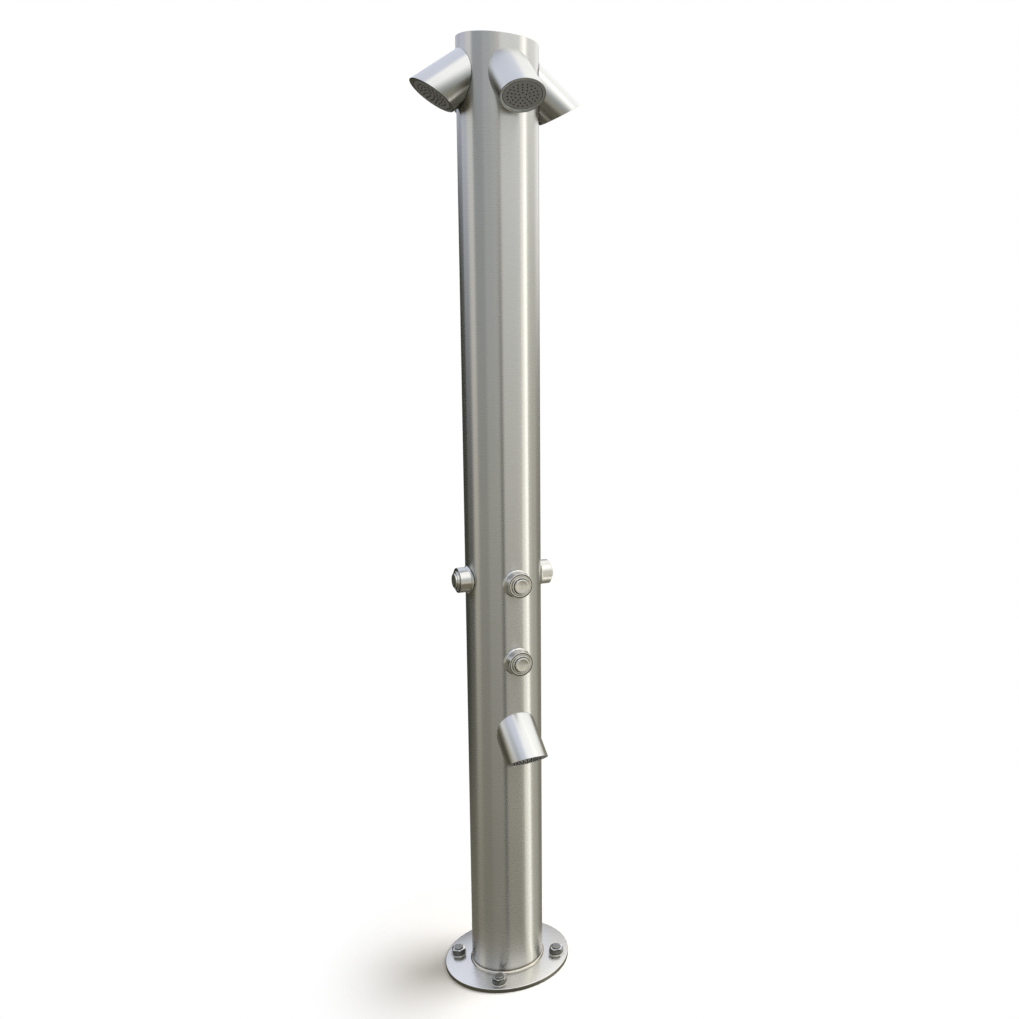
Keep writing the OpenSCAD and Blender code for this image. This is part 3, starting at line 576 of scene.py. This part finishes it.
def hangLamps():
    for name, lamp in lamps.items():
        side, rise = math.radians(view["azimuth"] + lamp["side"]), math.radians(lamp["rise"])
        away = Vector((
            math.sin(side) * math.cos(rise), -math.cos(side) * math.cos(rise), math.sin(rise)))
        light = bpy.data.lights.new(name, "AREA")
        light.energy, light.size = lamp["watts"], lamp["size"]
        light.color = toLinear(lamp["colour"])[:3]
        box = bpy.data.objects.new(name, light)
        bpy.context.scene.collection.objects.link(box)
        box.location = away * lamp["distance"] + lampAim
        box.rotation_euler = (-away).to_track_quat("-Z", "Y").to_euler()
        box.visible_camera = False
        box.visible_glossy = False


setWorld()
layFloor()
standDrum()
hangLamps()
bpy.context.scene.view_settings.view_transform = "Standard"
print("stage set")

# Shower heads: each a tube that slopes down from the column and ends in an oblique face
head = {
    "radius": 46.5 * mm, "wall": 2 * mm, "reach": 173.8 * mm, "tilt": 37, "faceTilt": 58,
    "upperZ": 2099 * mm, "spoutZ": 677 * mm, "sides": 160}
lean = math.radians(head["faceTilt"] - head["tilt"])  # between the tube's axis and the face's
headAxis = Matrix.Translation((0, 0, head["upperZ"])) @ Matrix.Rotation(
    math.radians(90 + head["tilt"]), 4, "X")
headFace = headAxis @ Matrix.Translation((0, 0, head["reach"])) @ Matrix.Rotation(lean, 4, "X")
headOut = (headAxis.to_3x3() @ Vector((0, 0, 1))).normalized()
faceOut = (headFace.to_3x3() @ Vector((0, 0, 1))).normalized()
spoutDrop = Matrix.Translation((0, 0, head["spoutZ"] - head["upperZ"]))


def ontoColumn(spot, out, radius):
    # slides a point along a direction until it is this far from the column's axis
    a = out.x ** 2 + out.y ** 2
    b = 2 * (spot.x * out.x + spot.y * out.y)
    c = spot.x ** 2 + spot.y ** 2 - radius ** 2
    return spot + out * ((-b + math.sqrt(b * b - 4 * a * c)) / (2 * a))


def faceLoop(radius, height):
    # a loop of the tube at a height over its face, in the face's frame: an ellipse, as it leans
    return (radius, radius / math.cos(lean), height * math.tan(lean), height)


def makeHousing():
    look = {
        "drawn": 60 * mm, "rootStep": 2 * mm, "rootGap": 0.3 * mm, "groove": 1.5 * mm,
        "edge": 0.5 * mm, "smoothAngle": 35}
    rim = ((0, 1), (0.1, 0.5), (0.3, 0.17), (0.8, 0))  # shares of edge, in from the wall and back
    outer, inner, e = head["radius"], head["radius"] - head["wall"], look["edge"]
    drawn, step, groove = look["drawn"], look["rootStep"], look["groove"]
    loops = [faceLoop(inner, -drawn), faceLoop(outer - groove, -drawn),
             faceLoop(outer, step - drawn)]
    loops += [faceLoop(outer - inset * e, -back * e) for inset, back in rim]
    loops += [faceLoop(inner + inset * e, -back * e) for inset, back in (rim[3], rim[2], rim[0])]
    piece = drawLoops("headHousingFront", loops, sides=head["sides"], ring=True)
    piece.data.transform(headFace)
    for vert in piece.data.vertices:
        depth = (headFace.translation - vert.co).dot(faceOut)
        if depth > drawn - 2 * step:  # the root follows the column, its outer edge bevelled
            away = look["rootGap"] if depth > drawn - step / 2 else look["rootGap"] + groove
            vert.co = ontoColumn(vert.co, headOut, column["radius"] + away)
    mapRound(piece, headAxis, head["radius"])
    smooth(piece, look["smoothAngle"])
    return piece


def makeBezel():
    look = {
        "drop": 0.6 * mm, "thick": 3 * mm, "opening": 40.5 * mm, "play": 0.05 * mm,
        "chamfer": 0.2 * mm, "round": 0.5 * mm, "corner": 0.15 * mm, "smoothAngle": 35}
    bore, hole = head["radius"] - head["wall"] - look["play"], look["opening"]
    front, back = -look["drop"], -look["drop"] - look["thick"]
    chamfer, size, corner = look["chamfer"], look["round"], look["corner"]
    loops = [faceLoop(bore, back), faceLoop(bore, front - chamfer), faceLoop(bore - chamfer, front)]
    loops += [(radius, radius, 0, height) for radius, height in (
        (hole + size, front), (hole + corner, front - corner), (hole, front - size), (hole, back))]
    piece = drawLoops("faceBezels", loops, sides=head["sides"], ring=True)
    piece.data.transform(headFace)
    smooth(piece, look["smoothAngle"])
    return piece


def makeNozzleMat():
    # rubber mat behind the spray plate with its rings of nozzles, each with its own bore
    look = {
        "rings": 4, "first": 5, "pitch": 7.6 * mm, "sides": 10, "smoothAngle": 40,
        "root": 1.2 * mm, "bore": 0.45 * mm, "deep": 1.2 * mm,
        "lip": 1.6 * mm, "lipThick": 0.1 * mm, "plate": 0.65 * mm,  # the lip lies on the plate
        "tip": 0.9 * mm, "proud": 0.9 * mm, "end": ((1.15, 0.75), (0.85, 1)), "boreEnd": 0.95,
        "matRadius": 36.5 * mm, "matBack": 4.8 * mm, "matFront": 3.3 * mm, "matHole": 1 * mm,
        "matGap": 0.02 * mm, "matSides": 64}
    tip, proud, bore, plate = look["tip"], look["proud"], look["bore"], look["plate"]
    outline = [(look["root"], -look["matFront"]), (look["root"], -plate),
               (look["lip"], look["lipThick"] - plate)]
    outline += [(tip * wide, proud * high) for wide, high in look["end"]]  # the rounded end
    outline += [(bore, proud * look["boreEnd"]), (bore, -look["deep"])]
    nozzle = turnOutline("nozzle", outline, sides=look["sides"])
    back, front = -look["matBack"], -look["matFront"] - look["matGap"]
    mat = turnOutline("mat", [
        (look["matHole"], back), (look["matRadius"], back), (look["matRadius"], front),
        (look["matHole"], front)], sides=look["matSides"])
    copies = []
    for ring in range(1, look["rings"] + 1):
        count, reach = ring * look["first"], ring * look["pitch"]
        for number in range(count):
            turn = math.radians((number + ring / 2) * 360 / count)
            place = Matrix.Translation((math.cos(turn) * reach, math.sin(turn) * reach, 0))
            copies.append(copyTo(nozzle, "nozzle" + str(ring) + "x" + str(number), place))
    bpy.data.objects.remove(nozzle)
    piece = joinPieces("nozzleMats", [mat] + copies)
    piece.data.transform(headFace)
    smooth(piece, look["smoothAngle"])
    return piece


def otherHeads():
    # where the front head's copies go: three round the column and the foot spout
    for side, turn in turns.items():
        if turn:
            yield side, turnBy(turn)
    yield "foot", spoutDrop


def spreadOverHeads(piece, name):
    return [piece] + [copyTo(piece, name + side, place) for side, place in otherHeads()]


housing = makeHousing()
for side, place in otherHeads():
    twin = copyTo(housing, "headHousing" + side.capitalize(), place)
    settle(twin, headSteel, "post", "head_housing_" + side)
settle(housing, headSteel, "post", "head_housing_front")
bezels = joinPieces("faceBezels", spreadOverHeads(makeBezel(), "bezel"))
settle(bezels, bezelSteel, "post", "face_bezels")
mats = joinPieces("nozzleMats", spreadOverHeads(makeNozzleMat(), "mat"))
settle(mats, nozzleSilicone, "post", "nozzle_mats")
print("heads made")

# Push-button valves: heights over the ground, and how far from the column's axis they start
valve = {"upperZ": 976 * mm, "footZ": 794 * mm, "sealRadius": column["radius"] + 1 * mm}
valveAxis = Matrix.Rotation(math.pi / 2, 4, "X")  # Z of a valve runs out of the column


def eachValve():
    for side, turn in turns.items():
        yield side, Matrix.Translation((0, 0, valve["upperZ"])) @ turnBy(turn)
    yield "foot", Matrix.Translation((0, 0, valve["footZ"]))


def roundedEdge(radius, height, size, inside=False):
    # four points of a rounded front edge, from wall to face, or from face to a bore's wall
    turn = 1 if inside else -1
    shape = ((0, 1), (0.14, 0.5), (0.5, 0.14), (1, 0))  # shares of size, in from the wall and back
    points = [(radius + turn * inset * size, height - back * size) for inset, back in shape]
    return points[::-1] if inside else points


def makeCollar():
    look = {
        "root": 70 * mm, "radius": 28.25 * mm, "front": 107.65 * mm, "round": 0.9 * mm,
        "flare": 3.4 * mm, "flareTop": 1.4,  # how far up it bends, as a share of flare
        "crown": 20.75 * mm, "crownFront": 111.65 * mm, "crownRound": 0.8 * mm,
        "groove": 0.9 * mm, "grooveDeep": 1.6 * mm,  # turned groove at the crown's foot
        "ringOut": 26.7 * mm, "ringIn": 24.9 * mm, "ringDeep": 1.4 * mm, "draft": 0.1 * mm,
        "mouth": 17.75 * mm, "floor": 92.15 * mm, "bore": 14.05 * mm,
        "sides": 128, "smoothAngle": 30}
    flareShape = ((1, 0), (0.86, 0.12), (0.3, 0.6), (0, 1.3))  # shares of flare, out and up
    radius, root, front, flare = look["radius"], look["root"], look["front"], look["flare"]
    crown, groove, mouth, draft = look["crown"], look["groove"], look["mouth"], look["draft"]
    ringOut, ringIn, ringBed = look["ringOut"], look["ringIn"], front - look["ringDeep"]
    outline = [(look["bore"], root)]
    outline += [(radius + out * flare, root + up * flare) for out, up in flareShape]
    outline += roundedEdge(radius, front, look["round"])
    outline += [(ringOut, front), (ringOut - draft, ringBed), (ringIn + draft, ringBed),
                (ringIn, front)]
    outline += [(crown + 2 * groove, front), (crown + groove, front - look["grooveDeep"]),
                (crown, front - look["grooveDeep"])]
    outline += roundedEdge(crown, look["crownFront"], look["crownRound"])
    outline += roundedEdge(mouth, look["crownFront"], look["crownRound"], inside=True)
    outline += [(mouth, look["floor"]), (look["bore"], look["floor"])]
    piece = turnOutline("valveCollar", outline, sides=look["sides"], ring=True)
    piece.data.materials.append(collarSteel)
    piece.data.materials.append(groovePaintedShade)
    for face in piece.data.polygons:  # painted shade in the ring groove and down the mouth
        away, height = math.hypot(face.center.x, face.center.y), face.center.z
        inRing = ringIn < away < ringOut and ringBed - look["ringDeep"] < height < front - draft
        inMouth = away < mouth + draft and height < look["crownFront"] - look["crownRound"]
        face.material_index = 1 if inRing or inMouth else 0
    mapRound(piece, Matrix.Identity(4), radius)
    piece.data.transform(valveAxis)
    for vert in piece.data.vertices:
        over = -vert.co.y - root
        if over < look["flareTop"] * flare:  # the flared root follows the column
            spot = Vector((vert.co.x, 0, vert.co.z))
            vert.co = ontoColumn(spot, Vector((0, -1, 0)), valve["sealRadius"] + over)
    smooth(piece, look["smoothAngle"])
    return piece


def makeButton():
    look = {
        "radius": 16.5 * mm, "face": 115.15 * mm, "round": 1.2 * mm, "length": 15 * mm,
        "chamfer": 0.4 * mm, "hub": 7 * mm, "hubLength": 10 * mm, "hole": 3.05 * mm,
        "web": 6 * mm, "middle": 0.5 * mm, "sides": 96, "smoothAngle": 30,
        "dish": 12.4 * mm, "dishDeep": 0.8 * mm, "dishDrop": 0.15 * mm,
        "rimWide": 0.5 * mm, "rimDrop": 0.12 * mm}
    dishSteps = (0.95, 0.85, 0.7, 0.5, 0.3, 0.05)  # shares of the dish's radius
    radius, face, dish, chamfer = look["radius"], look["face"], look["dish"], look["chamfer"]
    rear, web = face - look["length"], face - look["web"]
    hubEnd = rear - look["hubLength"]
    outline = [(look["middle"], web), (look["hole"], web), (look["hole"], hubEnd),
               (look["hub"], hubEnd), (look["hub"], rear),
               (radius - chamfer, rear), (radius, rear + chamfer)]
    outline += roundedEdge(radius, face, look["round"])
    outline += [(dish + look["rimWide"], face), (dish, face - look["rimDrop"])]
    outline += [(dish * share, face - look["dishDeep"] * (1 - share * share) - look["dishDrop"])
                for share in dishSteps]
    piece = turnOutline("pushButton", outline, sides=look["sides"])
    mapRound(piece, Matrix.Identity(4), radius)
    piece.data.transform(valveAxis)
    smooth(piece, look["smoothAngle"])
    return piece


# Return springs: foot and head are distances from the column's axis, travel is the button's
spring = {
    "radius": 8.75 * mm, "wire": 0.75 * mm, "foot": 69.15 * mm, "head": 100.05 * mm,
    "turns": 7, "steps": 24, "sides": 10, "travel": 7 * mm, "smoothAngle": 50}


def makeSpring():
    # the wire's section, wound out along the valve
    deselectAll()
    wire = spring["wire"]
    bpy.ops.mesh.primitive_circle_add(
        vertices=spring["sides"], radius=wire, rotation=(math.pi / 2, 0, 0), fill_type="NOTHING",
        location=(spring["radius"], 0, spring["foot"] + wire))
    piece = bpy.context.object
    piece.name = "returnSpring"
    applyPlace()
    modifier = piece.modifiers.new("coil", "SCREW")
    modifier.screw_offset = (spring["head"] - spring["foot"] - 2 * wire) / spring["turns"]
    modifier.iterations = spring["turns"]
    modifier.steps = modifier.render_steps = spring["steps"]
    bpy.ops.object.modifier_apply(modifier=modifier.name)
    bpy.ops.object.mode_set(mode="EDIT")
    closeEdit(fill=True)
    piece.data.transform(valveAxis)
    smooth(piece, spring["smoothAngle"])
    return piece


collar, button, coil = makeCollar(), makeButton(), makeSpring()
for side, place in eachValve():
    twin = copyTo(coil, "returnSpring" + side.capitalize(), place)
    settle(twin, springSteel, "post", "return_spring_" + side)
    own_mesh(twin)
    twin = copyTo(collar, "valveCollar" + side.capitalize(), place)
    settle(twin, None, "post", "valve_collar_" + side)
    twin = copyTo(button, "pushButton" + side.capitalize(), place)
    settle(twin, buttonSteel, side + "_button", "push_button_" + side)
for pattern in (collar, button, coil):
    bpy.data.objects.remove(pattern)
print("valves made")

# The base: four anchors through the flange, each nut and stud turned a little further
anchor = {"circle": 119 * mm, "turn": -30, "count": 4, "further": 17, "deck": 10 * mm}


def anchorPlace(number):
    turn = anchor["turn"] + 360 / anchor["count"] * number
    return turnBy(turn) @ Matrix.Translation((0, -anchor["circle"], 0))


def makeFlange():
    look = {
        "radius": 147.5 * mm, "thick": 10 * mm, "bevel": 1.5 * mm, "underBevel": 0.4 * mm,
        "opening": 60 * mm, "sides": 192, "smoothAngle": 40, "hole": 11 * mm, "holeSides": 48,
        "overrun": 1 * mm, "sliver": 0.05 * mm, "rimSlope": 0.3}
    bevelShape = ((0, 1), (0.12, 0.5), (0.5, 0.12), (1, 0))  # shares of bevel, in and down
    radius, thick, opening = look["radius"], look["thick"], look["opening"]
    outline = [(opening, 0), (radius - look["underBevel"], 0), (radius, look["underBevel"])]
    outline += [(radius - inset * look["bevel"], thick - down * look["bevel"])
                for inset, down in bevelShape]
    outline.append((opening, thick))
    piece = turnOutline("baseFlange", outline, sides=look["sides"], ring=True)
    for number in range(anchor["count"]):
        hole = turnOutline("anchorHole", [
            (look["hole"], -look["overrun"]), (look["hole"], thick + look["overrun"])],
            sides=look["holeSides"])
        hole.data.transform(anchorPlace(number))
        cutWith(piece, hole)
    pickUp(piece)
    bpy.ops.object.mode_set(mode="EDIT")
    closeEdit(weld=look["sliver"])  # the cuts leave slivers
    piece.data.materials.append(flangeSteel)
    piece.data.materials.append(cutSteelAndShade)
    for face in piece.data.polygons:  # the upright rim and the holes' walls show the matt cut and its painted shade
        face.material_index = 1 if abs(face.normal.z) < look["rimSlope"] else 0
    smooth(piece, look["smoothAngle"])
    return piece


def makeWeld():
    look = {
        "leg": 4 * mm, "bulge": 0.5 * mm, "clear": 0.05 * mm, "steps": 6, "sides": 256,
        "smoothAngle": 50}
    inner, foot, leg = column["radius"] + look["clear"], column["foot"] + hair, look["leg"]
    outline = [(inner, foot)]
    for step in range(look["steps"] + 1):
        share = step / look["steps"]
        swell = look["bulge"] * math.sin(share * math.pi)
        outline.append((inner + leg * (1 - share) + swell, foot + leg * share + swell))
    piece = turnOutline("footWeld", outline, sides=look["sides"], ring=True)
    mapRound(piece, Matrix.Identity(4), column["radius"])
    smooth(piece, look["smoothAngle"])
    return piece


def makeWasher():
    look = {
        "radius": 18.5 * mm, "bore": 10.5 * mm, "thick": 2 * mm, "round": 0.4 * mm,
        "corner": 0.12 * mm, "sides": 64, "smoothAngle": 50}
    radius, bore, size, corner = look["radius"], look["bore"], look["round"], look["corner"]
    low, top = anchor["deck"], anchor["deck"] + look["thick"]
    outline = [(bore, low), (radius - size, low), (radius, low + size), (radius, top - size),
               (radius - corner, top - corner), (radius - size, top), (bore + size, top),
               (bore, top - size)]
    piece = turnOutline("anchorWashers", outline, sides=look["sides"], ring=True)
    smooth(piece, look["smoothAngle"])
    return piece


def makeNut():
    look = {
        "flats": 30 * mm, "washer": 2 * mm, "high": 13 * mm, "smoothAngle": 35,
        "chamfer": 1.8 * mm, "land": 0.9, "barrel": 1.01, "barrelSides": 72,  # shares of a corner
        "bore": 9.25 * mm, "sink": 0.8 * mm, "boreSides": 48,
        "under": (1 * mm, 1 * mm), "above": (1.2 * mm, 0.4 * mm),  # sinks' ends, out and past
        "round": 0.35 * mm, "roundSteps": 2, "roundFrom": 25}
    corner = look["flats"] / 2 / math.cos(math.radians(30))
    high, bore, sink, chamfer = look["high"], look["bore"], look["sink"], look["chamfer"]
    bottom = anchor["deck"] + look["washer"]
    top, land, barrel = bottom + high, corner * look["land"], corner * look["barrel"]
    deselectAll()
    bpy.ops.mesh.primitive_cylinder_add(
        vertices=6, radius=corner, depth=high, location=(0, 0, bottom + high / 2))
    piece = bpy.context.object
    piece.name = "anchorNuts"
    applyPlace()
    cutWith(piece, turnOutline("barrel", [
        (land, bottom - hair), (barrel, bottom + chamfer), (barrel, top - chamfer),
        (land, top + hair)], sides=look["barrelSides"]), "INTERSECT")
    cutWith(piece, turnOutline("bore", [
        (bore + look["under"][0], bottom - look["under"][1]), (bore, bottom + sink),
        (bore, top - sink), (bore + look["above"][0], top + look["above"][1])],
        sides=look["boreSides"]))
    modifier = piece.modifiers.new("round", "BEVEL")
    modifier.width, modifier.segments = look["round"], look["roundSteps"]
    modifier.limit_method, modifier.angle_limit = "ANGLE", math.radians(look["roundFrom"])
    modifier.harden_normals = True
    pickUp(piece)
    bpy.ops.object.modifier_apply(modifier=modifier.name)
    smooth(piece, look["smoothAngle"])
    return piece


def makeStud():
    # rolled thread as rings, one each pitch, and a chamfered end
    look = {
        "radius": 10 * mm, "root": 9.2 * mm, "pitch": 2.5 * mm, "top": 28 * mm, "bevel": 1 * mm,
        "tip": 9.1 * mm, "tipRise": 0.2 * mm, "middle": 2 * mm, "buried": 14.6 * mm,
        "lead": 0.4 * mm, "sides": 48, "smoothAngle": 30}
    ring = (0.3 * mm, 0.7 * mm, 1.4 * mm, 1.7 * mm)  # crest from and to, root from and to
    radius, root, bevel, top = look["radius"], look["root"], look["bevel"], look["top"]
    start = anchor["deck"] + look["buried"]
    outline = [(look["tip"], 0.0), (root, look["tipRise"]), (root, start)]
    height = start + look["lead"]
    while height + look["pitch"] < top - bevel:
        outline += [(wide, height + step) for wide, step in zip((radius, radius, root, root), ring)]
        height += look["pitch"]
    outline += [(radius, height + ring[0]), (radius, top - bevel), (radius - bevel, top),
                (look["middle"], top)]
    piece = turnOutline("anchorStuds", outline, sides=look["sides"])
    smooth(piece, look["smoothAngle"])
    return piece


def spreadOverAnchors(piece, name):
    copies = []
    for number in range(anchor["count"]):
        place = anchorPlace(number) @ turnBy(anchor["further"] * number)
        copies.append(copyTo(piece, name + str(number), place))
    bpy.data.objects.remove(piece)
    return joinPieces(name, copies)


settle(makeFlange(), None, "post", "base_flange")
settle(makeWeld(), weldSteel, "post", "foot_weld")
for make, name, finish, node, slot in (
        (makeWasher, "anchorWashers", washerSteel, "anchor_washers", "washer_steel"),
        (makeNut, "anchorNuts", nutSteel, "anchor_nuts", "nut_steel"),
        (makeStud, "anchorStuds", studSteel, "anchor_studs", "stud_steel")):
    settle(spreadOverAnchors(make(), name), finish, "post", node)
print("base made")

# CAD nodes that stay, with their finishes
nodeFinish = {
    "column_tube": columnSteel, "top_cap": capSteel, "inlet_nipple": fittingBrass,
    "riser_lower": pipeSteel, "riser_upper": pipeSteel, "riser_bracket": bracketSteel,
    "riser_clamp": bracketSteel, "clamp_screw": studSteel, "tee_block": fittingBrass,
    "cross_block": fittingBrass, "inlet_tails": fittingBrass, "feed_pipes": pipeSteel,
    "feed_elbows": fittingBrass, "pipe_nuts": fittingBrass, "spray_chambers": chamberPlastic,
    "valve_seals": sealRubber, "saddle_washers": washerSteel, "lock_nuts": fittingBrass,
}
for side in list(turns) + ["foot"]:
    nodeFinish["spray_plate_" + side] = plateGrey
    nodeFinish["spindle_" + side] = spindleSteel
    nodeFinish["valve_body_" + side] = fittingBrass
for node, finish in nodeFinish.items():
    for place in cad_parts[node].material_slots:
        place.material = finish
print("finishes given:", len(nodeFinish))
